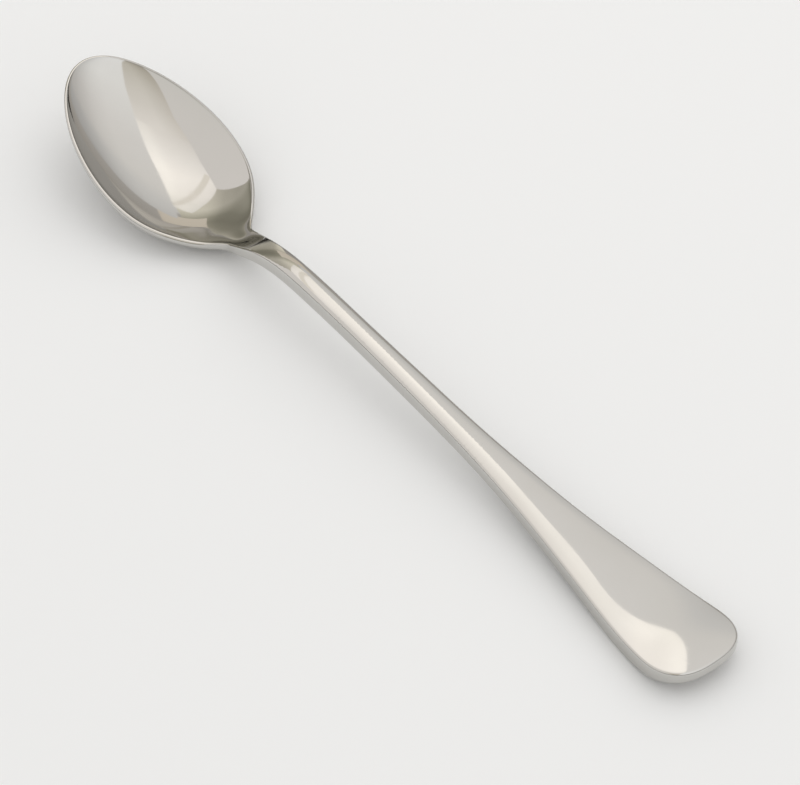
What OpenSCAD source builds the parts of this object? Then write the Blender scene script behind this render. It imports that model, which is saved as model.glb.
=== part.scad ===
/* [Whole spoon] */
// Length from the tip of the bowl to the end of the handle
overall_len = 185; // [170:1:205]
// Radius of the rounded edges
edge_r = 0.45; // [0.3:0.05:0.5]

/* [Bowl] */
// Length of the bowl from its tip to its heel
bowl_len = 51; // [46:0.5:56]
// Width of the bowl across its rim
bowl_w = 29.6; // [26:0.1:34]
// Depth of the hollow below the rim
bowl_depth = 6; // [5:0.1:6.6]
// Thickness of the metal at the bottom of the bowl
bowl_wall = 1.2; // [1.1:0.05:1.8]
// Width of the flat lip round the hollow
lip_w = 0.55; // [0.5:0.05:1]
// Height of the side of the rim
rim_t = 1.3; // [1.2:0.05:1.6]
// Height of the rim at the tip above the rim at the heel
tip_rise = 12.05; // [9:0.05:13.5]

/* [Neck and stem] */
// Width of the neck where it leaves the bowl
neck_w = 6.2; // [5:0.1:7.5]
// Height of the side of the neck
neck_t = 2.2; // [2:0.1:2.8]
// Height of the top of the neck's arch above the lowest point of the handle's edge
neck_rise = 6.5; // [5:0.1:8.5]
// Width of the stem where it is narrowest
stem_w = 4.5; // [3.9:0.1:5.2]
// Height of the side of the stem
stem_t = 3.2; // [2.6:0.05:3.6]
// Height of the crown of the stem above its edge
stem_crown = 0.6; // [0.3:0.05:1]

/* [Handle end] */
// Width that the handle flares to before its end is rounded off
end_w = 19.4; // [15:0.2:24]
// Length of the rounded end of the handle
end_round = 11; // [8:0.5:14]
// Height of the side of the handle's end
end_t = 3.7; // [3.2:0.1:4.2]
// Height of the side at the very tip of the handle
nose_t = 2.3; // [2:0.1:3]
// Height of the crown of the handle's end above its edge
end_crown = 0.9; // [0.4:0.05:1.3]
// How far the tip of the handle turns up
end_lift = 2; // [0.5:0.1:3]

/* [Hidden] */
steel = [0.78, 0.77, 0.74];

// Places along the bowl, as shares of bowl_len, and the rim's rise there, from the heel to the tip
bowl_x_shares = [0, 0.16, 0.32, 0.5, 0.68, 0.8, 0.89];
rim_rise_shares = [1.0, 0.773, 0.571, 0.361, 0.166, 0.061, 0.0];
// Places along the handle, as shares of its length from the heel to the end
handle_x_shares = [0, 0.04, 0.09, 0.16, 0.25, 0.37, 0.5, 0.6, 0.7, 0.8, 0.9, 1];
// The edge's rise at the first four places, from the heel to the top of the arch
neck_rise_shares = [0.28, 0.67, 0.942, 1.0];
// The edge's rise at the next places, from its lowest point to the top of the arch
handle_rise_shares = [0.913, 0.752, 0.547, 0.388, 0.209, 0.071, 0.016];
// Half width at those places: what the neck adds, and how far the handle has flared
neck_flare_shares = [1, 0.4, 0.07, 0, 0, 0, 0, 0, 0, 0, 0, 0];
end_flare_shares = [0, 0, 0, 0, 0, 0.026, 0.086, 0.195, 0.375, 0.625, 0.862, 1];
// Height of the side at those places but the last: how far from stem_t to neck_t, and from stem_t to end_t
neck_side_shares = [1, 0.45, 0.17, 0, 0, 0, 0, 0, 0, 0, 0];
end_side_shares = [0, 0, 0, 0, 0, -0.1, -0.6, -0.7, -0.3, 0.25, 0.9];
// How much of the stem's crown has risen at the places behind the neck's cut
neck_crown_shares = [0.25, 0.87, 1];
// Places behind the bowl's widest place, as shares of bowl_len, and the depth of the hollow's middle there
floor_x_shares = [0.59, 0.67, 0.71, 0.75, 0.79, 0.84, 0.9, 0.95, 0.99, 1.025, 1.06];
floor_depth_shares = [0.917, 0.802, 0.733, 0.639, 0.51, 0.309, 0.131, 0.107, 0.124, 0.068, -0.002];
// How full the bowl's outline is beside an ellipse, from the tip to the heel
full_x_shares = [0, 0.1, 0.2, 0.3, 0.4, 0.5, 0.6, 0.7, 0.8, 0.89, 0.94, 1];
fullness_shares = [0.93, 0.942, 0.963, 0.979, 0.992, 1, 0.995, 0.968, 0.877, 0.705, 0.585, 0.4];
// Places of the cuts between the regions, as shares of the handle's length
neck_start_share = 0.04;
neck_end_share = 0.16;
stem_end_share = 0.58;

// Powers of the curves of the hollow and of the handle's end
hollow_power = 0.85;
end_power = 2.6;
// Length of the bowl in front of its widest place, and how much deeper the hollow is there
front_share = 0.5;
hollow_lean_share = 0.22;
// Width of the blend where the bowl's outline runs into the neck, as a share of the neck's width
heel_blend_share = 0.33;

// Turns from the tip to the widest place, and on to where the bowl's outline leaves for the neck
tip_turns = [0:6:84];
heel_turns = [90:6:150];
end_turns = [0:6:90];
// Places between the end of those turns and the neck's cut, and along the handle's flare
heel_side_shares = [0.2, 0.45, 0.7, 1];
flare_side_shares = [0.08, 0.17, 0.27, 0.38, 0.5, 0.62, 0.74, 0.86, 1];
// Places across a cut, from its corner to the middle, and across a section
cut_shares = [0.8, 0.6, 0.4, 0.2, 0];
across_shares = [-1, -0.8, -0.6, -0.4, -0.2, 0, 0.2, 0.4, 0.6, 0.8, 1];
// Rings of the hollow, of the lip and of the handle's end, from the middle outwards
hollow_ring_shares = [0.15, 0.3, 0.44, 0.57, 0.68, 0.78, 0.87, 0.94, 1];
lip_ring_shares = [0.5, 1];
end_ring_shares = [0.2, 0.4, 0.6, 0.8, 0.92, 1];
// Turns of the rounded edges
round_turns = [0, 45, 90];
// Number of steps along the neck and along the stem
neck_steps = 12;
stem_steps = 22;

bowl_half = bowl_w / 2;
stem_half = stem_w / 2;
end_half = end_w / 2;
handle_len = overall_len - bowl_len;
front_len = bowl_len * front_share;
hollow_end = bowl_len - lip_w;
end_x = overall_len - end_round;
neck_start = bowl_len + handle_len * neck_start_share;
neck_end = bowl_len + handle_len * neck_end_share;
stem_end = bowl_len + handle_len * stem_end_share;
// Step of the search for the lowest place
probe = edge_r;

function ramp(a, b, shares) = [for (s = shares) a + (b - a) * s];
function last(list) = list[len(list) - 1];

// A smooth curve through the points (xs, ys)
function slope(xs, ys, i) =
    let (a = max(i - 1, 0), b = min(i + 1, len(xs) - 1))
    (ys[b] - ys[a]) / (xs[b] - xs[a]);
function step_of(xs, x, i = 0) = i >= len(xs) - 2 || x < xs[i + 1] ? i : step_of(xs, x, i + 1);
function curve(xs, ys, x) =
    let (
        i = step_of(xs, x),
        run = xs[i + 1] - xs[i],
        u = min(max((x - xs[i]) / run, 0), 1)
    )
    ys[i] * (1 + 2 * u) * (1 - u) ^ 2 + ys[i + 1] * (3 - 2 * u) * u ^ 2
        + run * u * (1 - u) * ((1 - u) * slope(xs, ys, i) - u * slope(xs, ys, i + 1));

bowl_xs = bowl_len * bowl_x_shares;
handle_xs = [for (s = handle_x_shares) bowl_len + handle_len * s];
all_xs = concat(bowl_xs, handle_xs);
// Height of the rim at the heel, at which the belly rests on the table
belly_depth = bowl_depth + bowl_wall - rim_t;
function belly_drop(x, y) = belly_depth * sunk(x, y, 0, bowl_len, bowl_half);
heel_z = -min([for (x = [0:probe:last(bowl_xs)])
    curve(bowl_xs, tip_rise * rim_rise_shares, x) - rim_t - belly_drop(x, 0)]);
// Height of the edge along the spoon, whose handle rests on the table near its end
all_edges = concat(
    ramp(heel_z, heel_z + tip_rise, rim_rise_shares),
    ramp(heel_z, end_t + neck_rise, neck_rise_shares),
    ramp(end_t, end_t + neck_rise, handle_rise_shares),
    [end_t + end_lift]
);
handle_halves = [for (i = [0:len(handle_xs) - 1]) stem_half
    + (neck_w / 2 - stem_half) * neck_flare_shares[i] + (end_half - stem_half) * end_flare_shares[i]];
all_sides = concat(
    [for (s = bowl_x_shares) rim_t],
    [for (i = [0:len(handle_xs) - 2]) stem_t
        + (neck_t - stem_t) * neck_side_shares[i] + (end_t - stem_t) * end_side_shares[i]],
    [nose_t]
);
// How far the middle of the top stands above its edges, behind the bowl's widest place
middle_xs = concat([front_len], bowl_len * floor_x_shares, [for (i = [1:len(handle_xs) - 1]) handle_xs[i]]);
middle_rises = concat(
    [-bowl_depth],
    -bowl_depth * floor_depth_shares,
    stem_crown * neck_crown_shares,
    [for (i = [4:len(handle_xs) - 1]) stem_crown + (end_crown - stem_crown) * end_flare_shares[i]]
);

// Half width of the bowl's outline, or of its hollow's, between a tip and a heel
function egg_half(x, tip, heel, half) =
    let (share = (x - tip) / (heel - tip))
    share <= 0 || share >= 1 ? 0
    : half * sqrt(1 - (2 * share - 1) ^ 2) * curve(full_x_shares, fullness_shares, share);
function blended(a, b, width) =
    max(a, b) + max(width - abs(a - b), 0) ^ 2 / (4 * width);
function handle_half(x) = curve(handle_xs, handle_halves, x) * end_fade(x) ^ (1 / end_power);
function half_w(x) =
    x < front_len ? egg_half(x, 0, bowl_len, bowl_half)
    : x > neck_start ? handle_half(x)
    : blended(egg_half(x, 0, bowl_len, bowl_half), handle_half(x), neck_w * heel_blend_share);

// How far the hollow or the belly has sunk along the bowl: 0 at its ends
function sunk_along(x, tip, heel) =
    let (along = min(max((x - front_len) / (x < front_len ? front_len - tip : heel - front_len), -1), 1))
    (1 - along ^ 2) ^ hollow_power * (1 - hollow_lean_share * along);
// How far the belly has sunk at a point: 0 at the outline
function sunk(x, y, tip, heel, half) =
    let (w = egg_half(x, tip, heel, half))
    w <= 0 || abs(y) >= w ? 0 : sunk_along(x, tip, heel) * (1 - (y / w) ^ 2) ^ hollow_power;
function edge_z(x) = curve(all_xs, all_edges, x);
function side_t(x) = curve(all_xs, all_sides, x);
function end_fade(x) = x > end_x ? max(1 - ((x - end_x) / end_round) ^ end_power, 0) : 1;
// How far the hollow has run out, from 0 at the heel to 1 at the neck's cut
function run_out(x) =
    let (share = min(max((x - hollow_end) / (neck_start - hollow_end), 0), 1))
    share ^ 2 * (3 - 2 * share);
// Half width inside the lip, which runs out with the hollow
function hollow_half(x) =
    x < front_len ? egg_half(x, lip_w, hollow_end, bowl_half - lip_w)
    : let (rise = (half_w(x + probe) - half_w(x - probe)) / (2 * probe))
        half_w(x) - lip_w * sqrt(1 + min(abs(rise), 1) ^ 2) * (1 - run_out(x));
function top_z(x, y) =
    let (
        across = min(abs(y) / max(hollow_half(x), edge_r / 4), 1),
        middle = x < front_len ? -bowl_depth * sunk_along(x, lip_w, hollow_end)
            : curve(middle_xs, middle_rises, x),
        power = 1 + (hollow_power - 1) * (1 - run_out(x))
    )
    edge_z(x) + middle * (1 - across ^ 2) ^ power * end_fade(x);
function under_z(x, y) = edge_z(x) - side_t(x) - belly_drop(x, y);
lowest_z = min([for (x = [0:probe:overall_len]) under_z(x, 0)]);

// The point of the model over a place on the plan, on the top or under the spoon
function set_down(x, y, z) = [x - overall_len / 2, y, z - lowest_z];
function on_top(p, drop = 0) = set_down(p.x, p.y, top_z(p.x, p.y) - drop);
function underneath(p, lift = 0) = set_down(p.x, p.y, under_z(p.x, p.y) + lift);

// A closed skin over loops of points, with a middle point at each end
module skin(loops, first_hub, last_hub) {
    n = len(loops[0]);
    points = concat([first_hub], [for (loop = loops) each loop], [last_hub]);
    end_hub = len(points) - 1;
    last_loop = end_hub - n;
    faces = [
        for (i = [0:n - 1]) let (j = (i + 1) % n) each concat(
            [[0, 1 + j, 1 + i], [end_hub, last_loop + i, last_loop + j]],
            [for (k = [0:len(loops) - 2]) let (a = 1 + k * n, b = a + n) each
                [[a + i, a + j, b + j], [a + i, b + j, b + i]]]
        )
    ];
    polyhedron(points, faces);
}

// One side of a plate's outline from its nose to the corner of its cut, moved in by a distance
function inward(rim, i) =
    let (
        before = i == 0 ? [rim[1].x, -rim[1].y] : rim[i - 1],
        run = rim[i + 1] - before,
        turn = rim[0].x < last(rim).x ? 1 : -1
    )
    turn * [run.y, -run.x] / norm(run);
function moved_in(rim, d) = [for (i = [0:len(rim) - 1])
    i == len(rim) - 1 ? [rim[i].x, rim[i].y - d] : rim[i] + d * inward(rim, i)];
function with_cut(rim) = concat(rim, [for (s = cut_shares) [last(rim).x, last(rim).y * s]]);

// Both sides of a plate's outline, the way round that a skin needs
function whole_loop(half) =
    let (
        other = [for (i = [len(half) - 2:-1:1]) [half[i].x, -half[i].y]],
        loop = concat(half, other)
    )
    half[0].x < last(half).x ? [for (i = [len(loop) - 1:-1:0]) loop[i]] : loop;
function between(inner, outer, share) =
    [for (i = [0:len(outer) - 1]) inner[i] + (outer[i] - inner[i]) * share];

// A plate with a rounded nose and a flat cut: its inner loops, then its rounded edge
module plate(rim, inner_loops, hub) {
    edge_loops = [for (a = round_turns) whole_loop(with_cut(moved_in(rim, edge_r * (1 - sin(a)))))];
    drops = [for (a = round_turns) edge_r * (1 - cos(a))];
    turns = len(round_turns);
    tops = concat(
        [for (loop = inner_loops) [for (p = loop) on_top(p)]],
        [for (i = [0:turns - 1]) [for (p = edge_loops[i]) on_top(p, drops[i])]]
    );
    unders = concat(
        [for (i = [turns - 1:-1:0]) [for (p = edge_loops[i]) underneath(p, drops[i])]],
        [for (i = [len(inner_loops) - 1:-1:0]) [for (p = inner_loops[i]) underneath(p)]]
    );
    skin(concat(tops, unders), on_top(hub), underneath(hub));
}

// The ring round a straight section of the neck or the stem
function section(x) =
    let (w = half_w(x), inner = w - edge_r, last_turn = len(round_turns) - 2)
    concat(
        [for (s = across_shares) on_top([x, s * inner])],
        [for (i = [1:1 + last_turn]) rounded(x, w, round_turns[i])],
        [for (i = [1 + last_turn:-1:1]) rounded_under(x, w, round_turns[i])],
        [for (s = -across_shares) underneath([x, s * inner])],
        [for (i = [1:1 + last_turn]) rounded_under(x, -w, round_turns[i])],
        [for (i = [1 + last_turn:-1:1]) rounded(x, -w, round_turns[i])]
    );
function corner(x, w, a) = [x, w - sign(w) * edge_r * (1 - sin(a))];
function rounded(x, w, a) = on_top(corner(x, w, a), edge_r * (1 - cos(a)));
function rounded_under(x, w, a) = underneath(corner(x, w, a), edge_r * (1 - cos(a)));
module bar(from, to, steps) {
    skin(
        [for (i = [0:steps]) section(from + (to - from) * i / steps)],
        (on_top([from, 0]) + underneath([from, 0])) / 2,
        (on_top([to, 0]) + underneath([to, 0])) / 2
    );
}

// The bowl: a thin hollow shell with a flat lip, open at the top, that ends where the neck begins
function bowl_rim() =
    let (
        back = bowl_len - front_len,
        turned = front_len - back * cos(last([for (a = heel_turns) a])),
        front = [for (a = tip_turns) front_len * (1 - cos(a))],
        rear = [for (a = heel_turns) front_len - back * cos(a)],
        side = [for (s = heel_side_shares) turned + (neck_start - turned) * s]
    )
    [for (x = concat(front, rear, side)) [x, half_w(x)]];
function hollow_x(x) =
    x < front_len ? lip_w + x * (front_len - lip_w) / front_len : min(x, neck_start - edge_r / 10);
function bowl_hollow(rim, outline) =
    [for (i = [0:len(rim) - 1]) let (x = hollow_x(rim[i].x)) [x, min(hollow_half(x), outline[i].y)]];
module bowl() {
    color(steel) {
        rim = bowl_rim();
        outline = with_cut(moved_in(rim, edge_r));
        hollow = bowl_hollow(with_cut(rim), outline);
        hub = [front_len, 0];
        hubs = [for (p = hollow) hub];
        rings = concat(
            [for (s = hollow_ring_shares) between(hubs, hollow, s)],
            [for (i = [0:len(lip_ring_shares) - 2]) between(hollow, outline, lip_ring_shares[i])]
        );
        plate(rim, [for (ring = rings) whole_loop(ring)], hub);
    }
}

// The neck: it rises from the heel of the bowl to the top of the arch
module neck() {
    color(steel) bar(neck_start, neck_end, neck_steps);
}

// The stem: the slender part of the handle, crowned on top and flat underneath
module stem() {
    color(steel) bar(neck_end, stem_end, stem_steps);
}

// The handle's end: it flares, ends in a blunt round and turns up a little
function end_rim() =
    let (
        nose = [for (a = end_turns) end_x + end_round * cos(a) ^ (2 / end_power)],
        side = [for (s = flare_side_shares) end_x + (stem_end - end_x) * s]
    )
    [for (x = concat(nose, side)) [x, handle_half(x)]];
module handle_end() {
    color(steel) {
        rim = end_rim();
        outline = with_cut(moved_in(rim, edge_r));
        hub = [end_x, 0];
        hubs = [for (p = outline) hub];
        rings = [for (i = [0:len(end_ring_shares) - 2]) between(hubs, outline, end_ring_shares[i])];
        plate(rim, [for (ring = rings) whole_loop(ring)], hub);
    }
}

bowl();
neck();
stem();
handle_end();
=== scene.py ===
import math

import bpy
import numpy as np
from mathutils import Matrix, Vector


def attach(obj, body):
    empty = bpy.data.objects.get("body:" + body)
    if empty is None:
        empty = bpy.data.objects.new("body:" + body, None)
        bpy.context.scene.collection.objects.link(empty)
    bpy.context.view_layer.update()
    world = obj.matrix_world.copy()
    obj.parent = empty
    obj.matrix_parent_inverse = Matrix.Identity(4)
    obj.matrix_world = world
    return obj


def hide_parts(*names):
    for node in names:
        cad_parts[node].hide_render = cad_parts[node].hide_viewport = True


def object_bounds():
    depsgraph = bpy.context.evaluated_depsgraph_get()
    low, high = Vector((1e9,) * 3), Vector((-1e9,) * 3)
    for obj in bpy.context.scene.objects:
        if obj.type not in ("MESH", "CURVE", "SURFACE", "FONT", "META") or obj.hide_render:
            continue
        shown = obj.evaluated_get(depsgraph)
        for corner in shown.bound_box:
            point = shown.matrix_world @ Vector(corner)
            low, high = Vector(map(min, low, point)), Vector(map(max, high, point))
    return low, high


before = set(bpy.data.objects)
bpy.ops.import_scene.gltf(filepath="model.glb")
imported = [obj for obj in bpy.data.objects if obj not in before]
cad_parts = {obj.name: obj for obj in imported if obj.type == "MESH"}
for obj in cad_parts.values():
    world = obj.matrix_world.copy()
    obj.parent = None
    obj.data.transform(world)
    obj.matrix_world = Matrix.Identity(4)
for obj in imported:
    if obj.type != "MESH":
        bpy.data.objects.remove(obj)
cad_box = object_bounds()

# The sizes of the spoon are in millimetres, and x is counted from the tip of its bowl
MM = 0.001
OVERALL_LEN = (cad_box[1][0] - cad_box[0][0]) / MM
EDGE_R = 0.45

BOWL_LEN = 51.0
BOWL_W = 29.6
BOWL_DEPTH = 6.0
BOWL_WALL = 1.2
LIP_W = 0.55
RIM_T = 1.3
TIP_RISE = 12.0
HEEL_Z = 4.212

NECK_W = 6.2
NECK_T = 2.2
NECK_RISE = 6.5
STEM_W = 4.5
STEM_T = 3.2
STEM_CROWN = 0.6

# The width that the flare would have at the nose, if the end weren't rounded off
END_W = 19.4
END_ROUND = 11.0
END_T = 3.7
NOSE_T = 2.3
END_CROWN = 0.9
END_LIFT = 2.0

HANDLE_LEN = OVERALL_LEN - BOWL_LEN
BOWL_MID = BOWL_LEN / 2
END_X = OVERALL_LEN - END_ROUND
NECK_START_SHARE = 0.04
BAR_END_SHARE = 0.58
NECK_START = BOWL_LEN + HANDLE_LEN * NECK_START_SHARE
BAR_END = BOWL_LEN + HANDLE_LEN * BAR_END_SHARE

# Places along the bowl and the handle, as shares of their lengths, and how far the heights, the widths and
# the thickness of the side have gone there from one named size to another
BOWL_X_SHARES = np.array([0, 0.16, 0.32, 0.5, 0.68, 0.8, 0.89])
HANDLE_X_SHARES = np.array([0, 0.04, 0.09, 0.16, 0.25, 0.37, 0.5, 0.6, 0.7, 0.8, 0.9, 1])
RIM_RISE_SHARES = np.array([1.0, 0.773, 0.571, 0.361, 0.166, 0.061, 0.0])
NECK_RISE_SHARES = np.array([0.28, 0.67, 0.942, 1.0])
HANDLE_RISE_SHARES = np.array([0.913, 0.752, 0.547, 0.388, 0.209, 0.071, 0.018])
NECK_FLARE_SHARES = np.array([1, 0.4, 0.07, 0, 0, 0, 0, 0, 0, 0, 0, 0])
END_FLARE_SHARES = np.array([0, 0, 0, 0, 0, 0.026, 0.086, 0.195, 0.375, 0.625, 0.862, 1])
NECK_SIDE_SHARES = np.array([1, 0.45, 0.17, 0, 0, 0, 0, 0, 0, 0, 0])
END_SIDE_SHARES = np.array([0, 0, 0, 0, 0, -0.1, -0.6, -0.7, -0.3, 0.25, 0.9])
# Places in front of the bowl's widest place, as shares of the way to it from the tip
FRONT_X_SHARES = np.array([0.4, 0.55, 0.7, 0.85, 1])
# Places behind it and on the neck, as shares of the bowl's length, and the height of the top's middle there
FLOOR_X_SHARES = np.array([0.59, 0.67, 0.71, 0.75, 0.79, 0.84, 0.9, 0.95, 0.99, 1.025, 1.06])
FLOOR_RISES = np.array([1.78, 1.48, 1.47, 1.63, 1.98, 2.6, 3.44, 4.18, 4.9, 6.05, 7.28])
# How much of the stem's crown the neck has, from front to back
NECK_CROWN_SHARES = np.array([0.25, 0.87, 1])
# How full the bowl's outline is beside an ellipse, from the tip to the heel
FULL_X_SHARES = np.array([0, 0.1, 0.2, 0.3, 0.4, 0.5, 0.6, 0.7, 0.8, 0.89, 0.94, 1])
FULLNESS_SHARES = np.array([0.93, 0.942, 0.963, 0.979, 0.992, 1, 0.995, 0.968, 0.877, 0.705, 0.585, 0.4])
# How round the hollow and the belly are, and how far their deepest place leans towards the tip
HOLLOW_POWER = 0.85
HOLLOW_LEAN = 0.22
# How square the handle's end is: 2 would be an ellipse
END_POWER = 2.6
# How wide the fillet is where the bowl's outline meets the neck's
HEEL_BLEND = NECK_W * 0.33
# The lip is widened on the slant, up to this slope of the outline
STEEPEST_LIP = 1.5
# Where the middle of the hollow goes over from one curve to the other
MIX_START = BOWL_MID * 0.6
# The least half width of the hollow, and how far its points stay in front of the cut
SLIVER = EDGE_R / 10
# The least half width of the belly, so that nothing is divided by zero
TINY = 1e-6
# How near two corners of the skins are taken as one, in metres
NEAR = EDGE_R * MM / 100

# The polish: its roughness, plain, where it is worn and what a hairline adds, and its colours
POLISH_ROUGHNESS = 0.05
WORN_ROUGHNESS = 0.085
HAIR_ROUGHNESS = 0.05
STEEL_COLOUR = (0.612, 0.602, 0.577, 1)
WORN_COLOUR = (0.6, 0.59, 0.564, 1)
# How high the waves of the wheel and the hairlines are
WAVE_HEIGHT = 0.01
HAIR_HEIGHT = 0.0004
# How many grains of each noise lie in a metre along x, y and z
WAVE_GRAINS = (55, 110, 110)
HAIR_GRAINS = (70, 2600, 2600)
WEAR_GRAINS = (150, 150, 150)
# The tones of the noise between which a hairline, the dulling and the tint of wear come in
HAIR_TONES = (0.56, 0.74)
DULL_TONES = (0.42, 0.68)
TINT_TONES = (0.4, 0.75)

# How finely each surface is worked: turns in degrees, then numbers of rings and steps
TIP_TURN = 1.5
HEEL_TURN = 150
NOSE_TURN = 3
HOLLOW_RINGS = 48
LIP_RINGS = 5
BELLY_RINGS = 40
END_RINGS = 36
ROUND_STEPS = 6
CUT_STEPS = 12
NECK_SIDE_STEPS = 22
FLARE_STEPS = 90
BAR_STEPS = 170


def smooth_curve(xs, ys):
    """A curve of even curvature through the points: a natural cubic spline."""
    xs = np.asarray(xs, float)
    ys = np.asarray(ys, float)
    run = np.diff(xs)
    rise = np.diff(ys) / run
    n = len(xs)
    system = np.eye(n)
    pull = np.zeros(n)
    for i in range(1, n - 1):
        system[i, i - 1:i + 2] = run[i - 1], 2 * (run[i - 1] + run[i]), run[i]
        pull[i] = 6 * (rise[i] - rise[i - 1])
    bend = np.linalg.solve(system, pull)

    def height_at(x):
        x = np.clip(x, xs[0], xs[-1])
        i = np.clip(np.searchsorted(xs, x, side="right") - 1, 0, n - 2)
        past = x - xs[i]
        slope = rise[i] - run[i] * (2 * bend[i] + bend[i + 1]) / 6
        return ys[i] + past * (slope + past * (bend[i] / 2 + past * (bend[i + 1] - bend[i]) / (6 * run[i])))

    return height_at


def between(low, high, shares):
    return low + (high - low) * shares


bowl_xs = BOWL_LEN * BOWL_X_SHARES
handle_xs = BOWL_LEN + HANDLE_LEN * HANDLE_X_SHARES
all_xs = np.concatenate([bowl_xs, handle_xs])
edge_height = smooth_curve(all_xs, np.concatenate([
    between(HEEL_Z, HEEL_Z + TIP_RISE, RIM_RISE_SHARES),
    between(HEEL_Z, END_T + NECK_RISE, NECK_RISE_SHARES),
    between(END_T, END_T + NECK_RISE, HANDLE_RISE_SHARES),
    [END_T + END_LIFT],
]))
side_height = smooth_curve(all_xs, np.concatenate([
    RIM_T + 0 * BOWL_X_SHARES,
    between(STEM_T, NECK_T, NECK_SIDE_SHARES) + (END_T - STEM_T) * END_SIDE_SHARES,
    [NOSE_T],
]))
flare_half = smooth_curve(
    handle_xs,
    between(STEM_W / 2, NECK_W / 2, NECK_FLARE_SHARES) + (END_W - STEM_W) / 2 * END_FLARE_SHARES,
)
fullness = smooth_curve(FULL_X_SHARES, FULLNESS_SHARES)


def egg_half(x, tip, heel, half):
    """Half width of the bowl's outline, or of its hollow's, between a tip and a heel."""
    share = (x - tip) / (heel - tip)
    inside = np.clip(1 - (2 * share - 1) ** 2, 0, None)
    return half * np.sqrt(inside) * fullness(np.clip(share, 0, 1))


def blended(a, b, reach):
    """The larger of two widths, with a fillet where they differ by less than the reach."""
    return np.maximum(a, b) + np.clip(reach - abs(a - b), 0, None) ** 2 / (4 * reach)


def front_depth(x):
    """Depth of the middle of the hollow in front of the bowl's widest place."""
    along = np.clip((x - BOWL_MID) / (BOWL_MID - LIP_W), -1, 1)
    return BOWL_DEPTH * (1 - along ** 2) ** HOLLOW_POWER * (1 - HOLLOW_LEAN * along)


# How far the middle of the top stands above its edges: less than zero in the hollow, and the crown behind it
front_xs = BOWL_MID * FRONT_X_SHARES
floor_xs = BOWL_LEN * FLOOR_X_SHARES
middle_rise = smooth_curve(
    np.concatenate([front_xs, floor_xs, handle_xs[1:]]),
    np.concatenate([
        -front_depth(front_xs),
        FLOOR_RISES - edge_height(floor_xs),
        STEM_CROWN * NECK_CROWN_SHARES,
        between(STEM_CROWN, END_CROWN, END_FLARE_SHARES[4:]),
    ]),
)


def end_fade(x):
    """One up to the round of the handle's end, and from there down to zero at its nose."""
    return np.clip(1 - np.clip((x - END_X) / END_ROUND, 0, None) ** END_POWER, 0, None)


def half_width(x):
    """Half width of the whole spoon's outline."""
    handle = flare_half(x) * end_fade(x) ** (1 / END_POWER)
    bowl = egg_half(x, 0, BOWL_LEN, BOWL_W / 2)
    behind = np.where(x > NECK_START, handle, blended(bowl, handle, HEEL_BLEND))
    return np.where(x < BOWL_MID, bowl, behind)


def eased(x, start, end):
    """From zero at the start to one at the end, with no corner at either."""
    share = np.clip((x - start) / (end - start), 0, 1)
    return share ** 2 * (3 - 2 * share)


def hollow_half(x):
    """Half width inside the lip, which runs out where the hollow becomes the crown of the neck."""
    front = egg_half(x, LIP_W, BOWL_LEN - LIP_W, BOWL_W / 2 - LIP_W)
    step = EDGE_R / 4
    slope = (half_width(x + step) - half_width(x - step)) / (2 * step)
    slant = np.sqrt(1 + np.clip(slope, -STEEPEST_LIP, STEEPEST_LIP) ** 2)
    lip = LIP_W * slant * (1 - eased(x, BOWL_LEN - LIP_W, NECK_START))
    return np.where(x < BOWL_MID, front, half_width(x) - lip)


def top_height(x, y):
    """The height of the top: an arch over the width, which sags in the bowl and swells behind it."""
    across = np.clip(abs(y) / np.maximum(hollow_half(x), SLIVER), 0, 1)
    hollow = 1 - eased(x, BOWL_LEN - LIP_W, NECK_START)
    mixed = eased(x, MIX_START, BOWL_MID)
    middle = -front_depth(x) * (1 - mixed) + middle_rise(x) * mixed
    arch = (1 - across ** 2) ** (1 + (HOLLOW_POWER - 1) * hollow)
    return edge_height(x) + middle * arch * end_fade(x)


def belly_drop(x, y):
    """How far the belly hangs below the edge of the bowl."""
    half = np.maximum(egg_half(x, 0, BOWL_LEN, BOWL_W / 2), TINY)
    along = np.clip(x / BOWL_MID - 1, -1, 1)
    keel = (BOWL_DEPTH + BOWL_WALL - RIM_T) * (1 - along ** 2) ** HOLLOW_POWER * (1 - HOLLOW_LEAN * along)
    return keel * np.clip(1 - (y / half) ** 2, 0, None) ** HOLLOW_POWER


def under_height(x, y):
    """The height of the underside: the side of the metal below the edge, and the belly below that."""
    return edge_height(x) - side_height(x) - belly_drop(x, y)


def on_top(plan, drop=0.0):
    return np.column_stack([plan, top_height(plan[:, 0], plan[:, 1]) - drop])


def underneath(plan, lift=0.0):
    return np.column_stack([plan, under_height(plan[:, 0], plan[:, 1]) + lift])


def deselect():
    bpy.ops.object.select_all(action="DESELECT")


def lay_skin(name, loops, first_hub, last_hub):
    """A sphere whose rings are laid on loops of points: a closed skin from one hub to the other."""
    rings, turns = len(loops), len(loops[0])
    deselect()
    bpy.ops.mesh.primitive_uv_sphere_add(segments=turns, ring_count=rings + 1, radius=1)
    skin = bpy.context.object
    skin.name = name
    ball = np.empty(len(skin.data.vertices) * 3)
    skin.data.vertices.foreach_get("co", ball)
    ball = ball.reshape(-1, 3)
    ring = np.rint(np.arccos(np.clip(ball[:, 2], -1, 1)) / math.pi * (rings + 1)).astype(int)
    turn = np.rint(np.arctan2(ball[:, 1], ball[:, 0]) / (2 * math.pi) * turns).astype(int) % turns
    laid = np.array(loops)[np.clip(ring - 1, 0, rings - 1), turn]
    laid[ring == 0] = first_hub
    laid[ring == rings + 1] = last_hub
    laid[:, 0] -= OVERALL_LEN / 2
    skin.data.vertices.foreach_set("co", (laid * MM).ravel())
    skin.data.update()
    return skin


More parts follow.
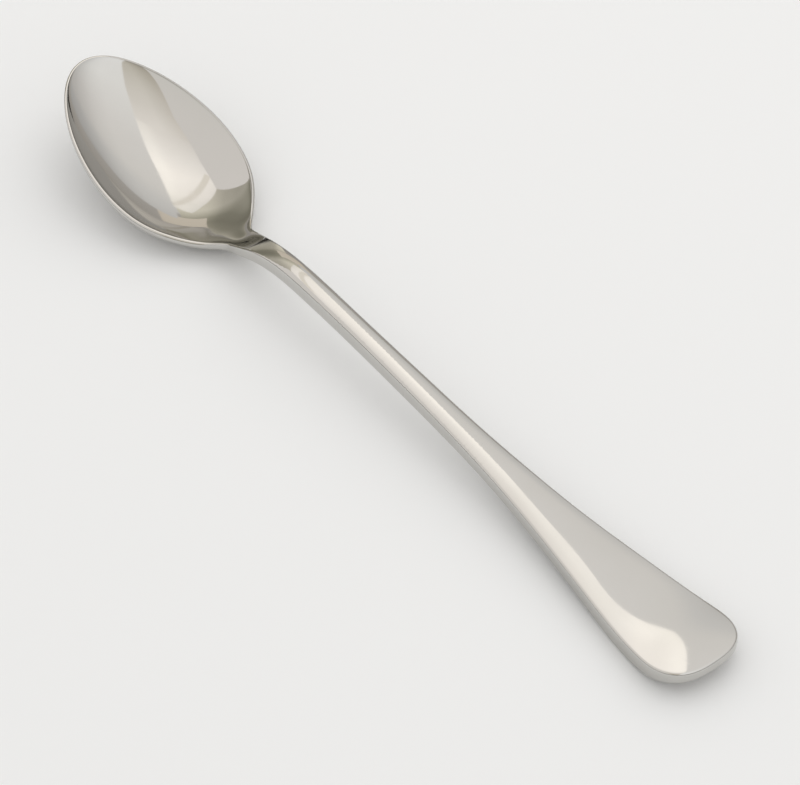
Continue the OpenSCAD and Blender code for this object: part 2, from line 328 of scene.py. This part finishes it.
# A rim is one side of a plate's outline, from its nose to the corner of its cut
def moved_in(rim, distance):
    """The rim moved inwards, while its last corner moves along the cut."""
    before = np.vstack([[rim[1] * [1, -1]], rim[:-1]])[:-1]
    run = rim[1:] - before
    turn = 1 if rim[0, 0] < rim[-1, 0] else -1
    inward = turn * np.column_stack([run[:, 1], -run[:, 0]]) / np.linalg.norm(run, axis=1)[:, None]
    return np.vstack([rim[:-1] + distance * inward, rim[-1] - [0, distance]])


def with_cut(rim):
    """The rim and half of its cut, from the corner to the middle line."""
    x, half = rim[-1]
    cut = [[x, half * (1 - i / CUT_STEPS)] for i in range(1, CUT_STEPS + 1)]
    return np.vstack([rim, cut])


def whole_loop(half):
    """Half an outline and its mirror image, always in the same sense of turning."""
    loop = np.vstack([half, half[-2:0:-1] * [1, -1]])
    return loop[::-1] if half[0, 0] < half[-1, 0] else loop


def round_turns():
    """The turns of the round of the edge, from its top down to its side."""
    return [math.pi / 2 * i / ROUND_STEPS for i in range(ROUND_STEPS + 1)]


def plate(name, rim, top_loops, under_loops, hub):
    """A plate with a rounded nose and a flat cut: its inner loops on both sides of its rounded edge."""
    rounds = []
    for turn in round_turns():
        edge = whole_loop(with_cut(moved_in(rim, EDGE_R * (1 - math.sin(turn)))))
        rounds.append((edge, EDGE_R * (1 - math.cos(turn))))
    loops = [on_top(loop) for loop in top_loops]
    loops += [on_top(loop, drop) for loop, drop in rounds]
    loops += [underneath(loop, drop) for loop, drop in reversed(rounds)]
    loops += [underneath(loop) for loop in under_loops]
    hub = np.array([hub])
    return lay_skin(name, loops, on_top(hub)[0], underneath(hub)[0])


def make_bowl():
    turns = np.radians(np.arange(0, HEEL_TURN + TIP_TURN / 2, TIP_TURN))
    turned = BOWL_MID - BOWL_MID * np.cos(turns)
    side = turned[-1] + (NECK_START - turned[-1]) * np.arange(1, NECK_SIDE_STEPS + 1) / NECK_SIDE_STEPS
    xs = np.concatenate([turned, side])
    rim = np.column_stack([xs, half_width(xs)])
    outline = with_cut(moved_in(rim, EDGE_R))
    base_x = with_cut(rim)[:, 0]
    front_x = LIP_W + base_x * (BOWL_MID - LIP_W) / BOWL_MID
    hollow_x = np.where(base_x < BOWL_MID, front_x, np.minimum(base_x, NECK_START - SLIVER))
    hollow = np.column_stack([hollow_x, np.minimum(hollow_half(hollow_x), outline[:, 1])])
    hub = np.array([BOWL_MID, 0.0])
    shares = np.sin(np.arange(1, HOLLOW_RINGS + 1) / HOLLOW_RINGS * math.pi / 2)
    top = [whole_loop(hub + (hollow - hub) * s) for s in shares]
    top += [whole_loop(hollow + (outline - hollow) * i / LIP_RINGS) for i in range(1, LIP_RINGS)]
    shares = np.sin(np.arange(BELLY_RINGS - 1, 0, -1) / BELLY_RINGS * math.pi / 2)
    under = [whole_loop(hub + (outline - hub) * s) for s in shares]
    return plate("bowl_skin", rim, top, under, hub)


def make_end():
    turns = np.radians(np.arange(0, 90 + NOSE_TURN / 2, NOSE_TURN))
    nose = END_X + END_ROUND * np.clip(np.cos(turns), 0, None) ** (2 / END_POWER)
    side = END_X + (BAR_END - END_X) * np.arange(1, FLARE_STEPS + 1) / FLARE_STEPS
    xs = np.concatenate([nose, side])
    rim = np.column_stack([xs, half_width(xs)])
    rim[0, 1] = 0
    outline = with_cut(moved_in(rim, EDGE_R))
    hub = np.array([END_X, 0.0])
    shares = np.arange(1, END_RINGS) / END_RINGS
    top = [whole_loop(hub + (outline - hub) * s) for s in shares]
    return plate("end_skin", rim, top, top[::-1], hub)


def section(x):
    """The ring round the neck or the stem at one place."""
    half = float(half_width(np.array(x)))
    shares = np.arange(-CUT_STEPS, CUT_STEPS + 1) / CUT_STEPS
    flat = np.column_stack([np.full(len(shares), x), shares * (half - EDGE_R)])
    turns = round_turns()[1:]
    drops = np.array([EDGE_R * (1 - math.cos(turn)) for turn in turns])
    right = np.array([[x, half - EDGE_R * (1 - math.sin(turn))] for turn in turns])
    left = right * [1, -1]
    return np.vstack([
        on_top(flat),
        np.column_stack([right, top_height(right[:, 0], right[:, 1]) - drops]),
        np.column_stack([right, under_height(right[:, 0], right[:, 1]) + drops])[::-1],
        underneath(flat[::-1]),
        np.column_stack([left, under_height(left[:, 0], left[:, 1]) + drops]),
        np.column_stack([left, top_height(left[:, 0], left[:, 1]) - drops])[::-1],
    ])


def make_bar():
    xs = NECK_START + (BAR_END - NECK_START) * np.arange(BAR_STEPS + 1) / BAR_STEPS
    loops = [section(x) for x in xs]
    return lay_skin("bar_skin", loops, loops[0].mean(axis=0), loops[-1].mean(axis=0))


def open_cuts(skin):
    """Deletes the faces that lie flat in a cut, so that the next skin can go on from there."""
    cuts = [(x - OVERALL_LEN / 2) * MM for x in (NECK_START, BAR_END)]
    deselect()
    skin.select_set(True)
    bpy.context.view_layer.objects.active = skin
    bpy.ops.object.mode_set(mode="EDIT")
    bpy.ops.mesh.select_all(action="DESELECT")
    bpy.ops.object.mode_set(mode="OBJECT")
    for face in skin.data.polygons:
        places = [skin.data.vertices[v].co.x for v in face.vertices]
        face.select = any(all(abs(x - cut) < NEAR for x in places) for cut in cuts)
    bpy.ops.object.mode_set(mode="EDIT")
    bpy.context.tool_settings.mesh_select_mode = (False, False, True)
    bpy.ops.mesh.delete(type="FACE")
    bpy.ops.object.mode_set(mode="OBJECT")


def make_spoon():
    """The three skins are opened at their flat cuts and joined into one piece of metal."""
    skins = [make_bowl(), make_bar(), make_end()]
    for skin in skins:
        open_cuts(skin)
    deselect()
    for skin in skins:
        skin.select_set(True)
    bpy.context.view_layer.objects.active = skins[0]
    bpy.ops.object.join()
    spoon = bpy.context.object
    spoon.name = "spoon"
    bpy.ops.object.mode_set(mode="EDIT")
    bpy.ops.mesh.select_all(action="SELECT")
    bpy.ops.mesh.remove_doubles(threshold=NEAR)
    bpy.ops.mesh.normals_make_consistent(inside=False)
    bpy.ops.object.mode_set(mode="OBJECT")
    bpy.ops.object.shade_smooth()
    return spoon


def stretched_noise(nodes, links, place, grains, detail):
    """Noise in the metal's own coordinates, with its number of grains in a metre along each axis."""
    spread = nodes.new("ShaderNodeMapping")
    spread.inputs["Scale"].default_value = grains
    noise = nodes.new("ShaderNodeTexNoise")
    noise.inputs["Scale"].default_value = 1
    noise.inputs["Detail"].default_value = detail
    links.new(place.outputs["Object"], spread.inputs["Vector"])
    links.new(spread.outputs["Vector"], noise.inputs["Vector"])
    return noise


def ranged(nodes, links, source, tones, low, high):
    """A value that goes from low to high while the source goes through the tones."""
    span = nodes.new("ShaderNodeMapRange")
    span.inputs["From Min"].default_value = tones[0]
    span.inputs["From Max"].default_value = tones[1]
    span.inputs["To Min"].default_value = low
    span.inputs["To Max"].default_value = high
    links.new(source, span.inputs["Value"])
    return span


def raised(nodes, links, source, height, under=None):
    """Relief in the metal, on top of another one if there is one."""
    bump = nodes.new("ShaderNodeBump")
    bump.inputs["Strength"].default_value = 1
    bump.inputs["Distance"].default_value = height * MM
    links.new(source.outputs[0], bump.inputs["Height"])
    if under:
        links.new(under.outputs["Normal"], bump.inputs["Normal"])
    return bump


def polished_steel():
    """Mirror-polished steel: faint waves of the polishing wheel, hairlines along the spoon and fine wear."""
    steel = bpy.data.materials.new("polished_steel")
    steel.use_nodes = True
    nodes, links = steel.node_tree.nodes, steel.node_tree.links
    shader = nodes["Principled BSDF"]
    shader.inputs["Metallic"].default_value = 1
    place = nodes.new("ShaderNodeTexCoord")
    waves = stretched_noise(nodes, links, place, WAVE_GRAINS, detail=1)
    hairs = stretched_noise(nodes, links, place, HAIR_GRAINS, detail=4)
    wear = stretched_noise(nodes, links, place, WEAR_GRAINS, detail=5)
    hairlines = ranged(nodes, links, hairs.outputs[0], HAIR_TONES, 0, 1)
    dulled = ranged(nodes, links, wear.outputs[0], DULL_TONES, POLISH_ROUGHNESS, WORN_ROUGHNESS)
    worn = ranged(nodes, links, wear.outputs[0], TINT_TONES, 0, 1)
    rough = nodes.new("ShaderNodeMath")
    rough.operation = "MULTIPLY_ADD"
    rough.inputs[1].default_value = HAIR_ROUGHNESS
    links.new(hairlines.outputs["Result"], rough.inputs[0])
    links.new(dulled.outputs["Result"], rough.inputs[2])
    links.new(rough.outputs["Value"], shader.inputs["Roughness"])
    tint = nodes.new("ShaderNodeMix")
    tint.data_type = "RGBA"
    tint.inputs[6].default_value = STEEL_COLOUR
    tint.inputs[7].default_value = WORN_COLOUR
    links.new(worn.outputs["Result"], tint.inputs["Factor"])
    links.new(tint.outputs[2], shader.inputs["Base Color"])
    waved = raised(nodes, links, waves, WAVE_HEIGHT)
    lined = raised(nodes, links, hairlines, HAIR_HEIGHT, waved)
    links.new(lined.outputs["Normal"], shader.inputs["Normal"])
    return steel


spoon = make_spoon()
spoon.data.materials.clear()
spoon.data.materials.append(polished_steel())
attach(spoon, "root")
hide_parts("bowl", "neck", "stem", "handle_end")


# The camera, solved from the spoon's outline in the photograph, which is 800 pixels wide. Its distances, and
# those of the studio, are in metres
PHOTO_W = 800
FOCUS_PX = 4010.8
SENSOR_W = 36
CAMERA_RISE = math.radians(47.27)
CAMERA_SWING = math.radians(51.98)
CAMERA_ROLL = math.radians(-1.35)
CAMERA_AWAY = 0.74265
CAMERA_AIM = Vector((4.990 * MM, 0.463 * MM, 0.917 * MM))
FARTHEST_SEEN = 20

# The studio: a white table under soft light, with cards that only the metal shows
TABLE_SIZE = 6.0
TABLE_COLOUR = (0.865, 0.86, 0.847, 1)
TABLE_ROUGHNESS = 0.9
BACKDROP_COLOUR = (0.85, 0.85, 0.84, 1)
ROOM_LIGHT = 0.84
LAMP_SIZE = 1.2
LAMP_ENERGY = 2.35
# The lamp's place from the middle of the spoon: to the right, away from the camera and up
LAMP_PLACE = (0.45, 0.5, 0.8)
# How high the cards hang over the table, and how bright they are
CARD_HANG = 0.3
CARD_LIGHT = 1.28
# A card is less bright in a second reflection, which keeps the near side of the bowl dark
SECOND_LIGHT = 0.88


def from_camera(right, away, up):
    """A place that is counted to the right and away from the camera, as one of the scene's."""
    cos, sin = math.cos(CAMERA_SWING), math.sin(CAMERA_SWING)
    return Vector((right * cos - away * sin, right * sin + away * cos, up))


def make_table():
    deselect()
    bpy.ops.mesh.primitive_plane_add(size=TABLE_SIZE, location=(0, 0, 0))
    table = bpy.context.object
    table.name = "table"
    paper = bpy.data.materials.new("white_table")
    paper.use_nodes = True
    shader = paper.node_tree.nodes["Principled BSDF"]
    shader.inputs["Base Color"].default_value = TABLE_COLOUR
    shader.inputs["Roughness"].default_value = TABLE_ROUGHNESS
    table.data.materials.append(paper)


def ramp_of(nodes, stops):
    """Light that changes along a card's side, or up the room: each stop is a share and a colour."""
    steps = nodes.new("ShaderNodeValToRGB")
    steps.color_ramp.elements.remove(steps.color_ramp.elements[0])
    for i, (at, colour) in enumerate(stops):
        stop = steps.color_ramp.elements[0] if i == 0 else steps.color_ramp.elements.new(at)
        stop.position = at
        stop.color = (*colour, 1)
    return steps


def card_glow(name, along, across):
    """The light of a card: its colours from near to far times those from left to right, at one
    strength in a first reflection and at a lower one in a second."""
    glow = bpy.data.materials.new(name)
    glow.use_nodes = True
    nodes, links = glow.node_tree.nodes, glow.node_tree.links
    nodes.clear()
    place = nodes.new("ShaderNodeTexCoord")
    sides = nodes.new("ShaderNodeSeparateXYZ")
    far = ramp_of(nodes, along)
    right = ramp_of(nodes, across)
    both = nodes.new("ShaderNodeMix")
    both.data_type = "RGBA"
    both.blend_type = "MULTIPLY"
    both.inputs["Factor"].default_value = 1
    light = nodes.new("ShaderNodeEmission")
    rays = nodes.new("ShaderNodeLightPath")
    strength = ranged(nodes, links, rays.outputs["Glossy Depth"], (1, 2), CARD_LIGHT, SECOND_LIGHT)
    links.new(strength.outputs["Result"], light.inputs["Strength"])
    out = nodes.new("ShaderNodeOutputMaterial")
    links.new(place.outputs["UV"], sides.inputs["Vector"])
    links.new(sides.outputs["Y"], far.inputs["Fac"])
    links.new(sides.outputs["X"], right.inputs["Fac"])
    links.new(far.outputs["Color"], both.inputs[6])
    links.new(right.outputs["Color"], both.inputs[7])
    links.new(both.outputs[2], light.inputs["Color"])
    links.new(light.outputs["Emission"], out.inputs["Surface"])
    return glow


def hang_card(name, left, right, height, along, across):
    """A card over the bowl that only the metal shows. Its sides run from near to far, and their points
    are counted right and away from over the bowl, as the camera looks, in lengths of CARD_HANG."""
    over_bowl = Vector(((BOWL_MID - OVERALL_LEN / 2) * MM, 0, 0))
    deselect()
    bpy.ops.mesh.primitive_grid_add(x_subdivisions=1, y_subdivisions=len(left) - 1, size=1)
    card = bpy.context.object
    card.name = name
    for corner in card.data.vertices:
        row = round((corner.co.y + 0.5) * (len(left) - 1))
        across_by, away_by = (left if corner.co.x < 0 else right)[row]
        corner.co = over_bowl + from_camera(across_by, away_by, height) * CARD_HANG
    card.data.materials.append(card_glow(name + "_glow", along, across))
    card.visible_camera = False
    card.visible_diffuse = False
    card.visible_shadow = False


def grey(tone):
    return (tone, tone, tone)


def make_cards():
    plain = [(0, grey(1)), (1, grey(1))]
    # The upper half of the middle band in the bowl, darker towards the tip
    hang_card(
        "strip_card",
        left=((-1, -2.2), (-1, -0.1)),
        right=((0.5, -2.2), (0.5, -0.1)),
        height=1.02,
        along=[
            (0, (0.5, 0.47, 0.41)),
            (0.6, (0.62, 0.59, 0.53)),
            (0.87, (0.75, 0.715, 0.67)),
            (1, (0.86, 0.82, 0.78)),
        ],
        across=[
            (0, (0.7, 0.69, 0.66)),
            (0.42, (0.87, 0.86, 0.845)),
            (0.53, (0.95, 0.95, 0.945)),
            (0.6, grey(1)),
            (1, grey(0.97)),
        ],
    )
    # The cream fan at the lower end of that band, which the stem and the handle's end show too
    hang_card(
        "fan_card",
        left=((-0.5, -0.1), (-0.5, 0.15), (-0.5, 0.35), (-0.38, 0.55), (-0.15, 0.85), (0, 1.13)),
        right=((0.5, -0.1), (0.5, 0.15), (0.5, 0.35), (0.5, 0.55), (0.5, 0.85), (0.5, 1.13)),
        height=1.015,
        along=[
            (0, (0.86, 0.82, 0.78)),
            (0.2, (1, 0.96, 0.92)),
            (0.4, (1.1, 1.05, 1)),
            (0.6, (1.08, 1.03, 0.98)),
            (0.8, (1, 0.96, 0.9)),
            (1, (0.98, 0.94, 0.88)),
        ],
        across=[
            (0, grey(0.84)),
            (0.25, grey(0.94)),
            (0.5, grey(1)),
            (0.62, (1.07, 1.075, 1.07)),
            (1, grey(1.04)),
        ],
    )
    # The thin arc across the fan
    hang_card(
        "bar_card",
        left=((-0.4, 0.28), (0.26, 1.14)),
        right=((-0.34, 0.24), (0.31, 1.1)),
        height=1.01,
        along=[(0, (0.82, 0.77, 0.7)), (1, (0.82, 0.77, 0.7))],
        across=plain,
    )
    # The grey pane on the right of the bowl
    hang_card(
        "side_card",
        left=((-6, -2.5), (-6, -1.2), (-6, -0.35), (-6, 0.5), (-6, 2.6)),
        right=((-1, -2.5), (-0.57, -1.2), (-0.35, -0.35), (-0.35, 0.1), (-0.42, 0.45)),
        height=1,
        along=[(0, (0.66, 0.65, 0.625)), (0.5, (0.71, 0.685, 0.665)), (1, (0.73, 0.7, 0.68))],
        across=plain,
    )
    # The light pane on the left of the bowl, which the far half of the handle shows too
    hang_card(
        "panel_card",
        left=((-0.35, -2.6), (0.02, -1.3), (0.18, -0.5), (0.21, 0.2), (0.23, 1.13), (0.3, 1.75)),
        right=((4.2, -2.6), (4.2, -1.3), (4.2, -0.5), (4.2, 0.2), (4.2, 1.13), (4.2, 2.4)),
        height=1,
        along=[
            (0, grey(0.84)),
            (0.2, grey(0.86)),
            (0.4, (0.85, 0.845, 0.835)),
            (0.6, (0.765, 0.745, 0.73)),
            (0.72, (0.73, 0.71, 0.69)),
            (0.8, (0.65, 0.64, 0.63)),
            (1, (0.57, 0.56, 0.55)),
        ],
        across=[
            (0, grey(1)),
            (0.12, grey(1)),
            (0.2, grey(0.94)),
            (0.3, grey(0.83)),
            (0.45, grey(0.74)),
            (1, grey(0.68)),
        ],
    )
    # The warm patch at the heel
    hang_card(
        "warm_card",
        left=((-0.3, 1.6), (-0.45, 3.6)),
        right=((0.6, 1.6), (0.9, 3.6)),
        height=1.03,
        along=[(0, (0.63, 0.57, 0.49)), (0.8, (0.6, 0.54, 0.46)), (1, (0.42, 0.39, 0.34))],
        across=plain,
    )
    # The first reflection in the dark sickle along the near side of the bowl
    hang_card(
        "taupe_card",
        left=((0.22, 1.4), (0.22, 9)),
        right=((9, 1.4), (9, 9)),
        height=1.035,
        along=[(0, (0.42, 0.4, 0.375)), (0.3, (0.36, 0.34, 0.315)), (1, (0.3, 0.28, 0.26))],
        across=plain,
    )
    # The olive bands at the heel and on the near side of the neck
    hang_card(
        "olive_card",
        left=((-8, 0.42), (-8, 9)),
        right=((0.22, 0.42), (0.22, 9)),
        height=1.04,
        along=[
            (0, (0.38, 0.36, 0.31)),
            (0.07, (0.41, 0.39, 0.335)),
            (0.1, (0.32, 0.305, 0.255)),
            (0.14, (0.22, 0.21, 0.17)),
            (0.2, (0.19, 0.18, 0.145)),
            (0.3, (0.225, 0.213, 0.172)),
            (0.43, (0.36, 0.34, 0.285)),
            (1, (0.45, 0.43, 0.37)),
        ],
        across=[
            (0, grey(1)),
            (0.85, grey(1)),
            (0.9, grey(1.15)),
            (0.94, grey(1.6)),
            (1, grey(1.9)),
        ],
    )


def make_camera():
    right = Vector((math.cos(CAMERA_SWING), math.sin(CAMERA_SWING), 0))
    ahead = Vector((-math.sin(CAMERA_SWING), math.cos(CAMERA_SWING), 0))
    back = -ahead * math.cos(CAMERA_RISE) + Vector((0, 0, math.sin(CAMERA_RISE)))
    up = back.cross(right)
    turned_right = right * math.cos(CAMERA_ROLL) + up * math.sin(CAMERA_ROLL)
    turned_up = back.cross(turned_right)
    place = CAMERA_AIM + back * CAMERA_AWAY
    camera = bpy.data.objects.new("camera", bpy.data.cameras.new("camera"))
    bpy.context.collection.objects.link(camera)
    camera.data.sensor_width = SENSOR_W
    camera.data.lens = FOCUS_PX * SENSOR_W / PHOTO_W
    camera.data.clip_end = FARTHEST_SEEN
    turned = Matrix((turned_right, turned_up, back)).transposed()
    camera.matrix_world = Matrix.Translation(place) @ turned.to_4x4()
    bpy.context.scene.camera = camera


def make_room():
    """The room that the metal shows: bright overhead, grey beyond the table and dark along the
    horizon. The camera sees the backdrop's plain colour in its place."""
    room = bpy.data.worlds.new("room")
    bpy.context.scene.world = room
    room.use_nodes = True
    nodes, links = room.node_tree.nodes, room.node_tree.links
    nodes.clear()
    rays = nodes.new("ShaderNodeLightPath")
    place = nodes.new("ShaderNodeTexCoord")
    axes = nodes.new("ShaderNodeSeparateXYZ")
    height = ramp_of(nodes, [
        (0, (0.6, 0.6, 0.58)),
        (0.005, (0.02, 0.018, 0.015)),
        (0.08, (0.02, 0.018, 0.015)),
        (0.11, (0.3, 0.29, 0.265)),
        (0.4, (0.38, 0.365, 0.34)),
        (0.75, (0.8, 0.79, 0.78)),
        (1, (0.95, 0.95, 0.95)),
    ])
    links.new(place.outputs["Generated"], axes.inputs["Vector"])
    links.new(axes.outputs["Z"], height.inputs["Fac"])
    shown = nodes.new("ShaderNodeBackground")
    shown.inputs["Strength"].default_value = CARD_LIGHT
    links.new(height.outputs["Color"], shown.inputs["Color"])
    lit = nodes.new("ShaderNodeBackground")
    lit.inputs["Color"].default_value = (*grey(ROOM_LIGHT), 1)
    seen = nodes.new("ShaderNodeBackground")
    seen.inputs["Color"].default_value = BACKDROP_COLOUR
    by_metal = nodes.new("ShaderNodeMixShader")
    by_camera = nodes.new("ShaderNodeMixShader")
    out = nodes.new("ShaderNodeOutputWorld")
    links.new(rays.outputs["Is Glossy Ray"], by_metal.inputs["Fac"])
    links.new(lit.outputs["Background"], by_metal.inputs[1])
    links.new(shown.outputs["Background"], by_metal.inputs[2])
    links.new(rays.outputs["Is Camera Ray"], by_camera.inputs["Fac"])
    links.new(by_metal.outputs["Shader"], by_camera.inputs[1])
    links.new(seen.outputs["Background"], by_camera.inputs[2])
    links.new(by_camera.outputs["Shader"], out.inputs["Surface"])


def make_lamp():
    lamp = bpy.data.objects.new("soft_lamp", bpy.data.lights.new("soft_lamp", "AREA"))
    lamp.data.size = LAMP_SIZE
    lamp.data.energy = LAMP_ENERGY
    place = from_camera(*LAMP_PLACE)
    lamp.matrix_world = Matrix.Translation(place) @ place.to_track_quat("Z", "Y").to_matrix().to_4x4()
    bpy.context.collection.objects.link(lamp)
    lamp.visible_glossy = False


make_table()
make_camera()
make_cards()
make_room()
make_lamp()
bpy.context.scene.view_settings.view_transform = "Standard"
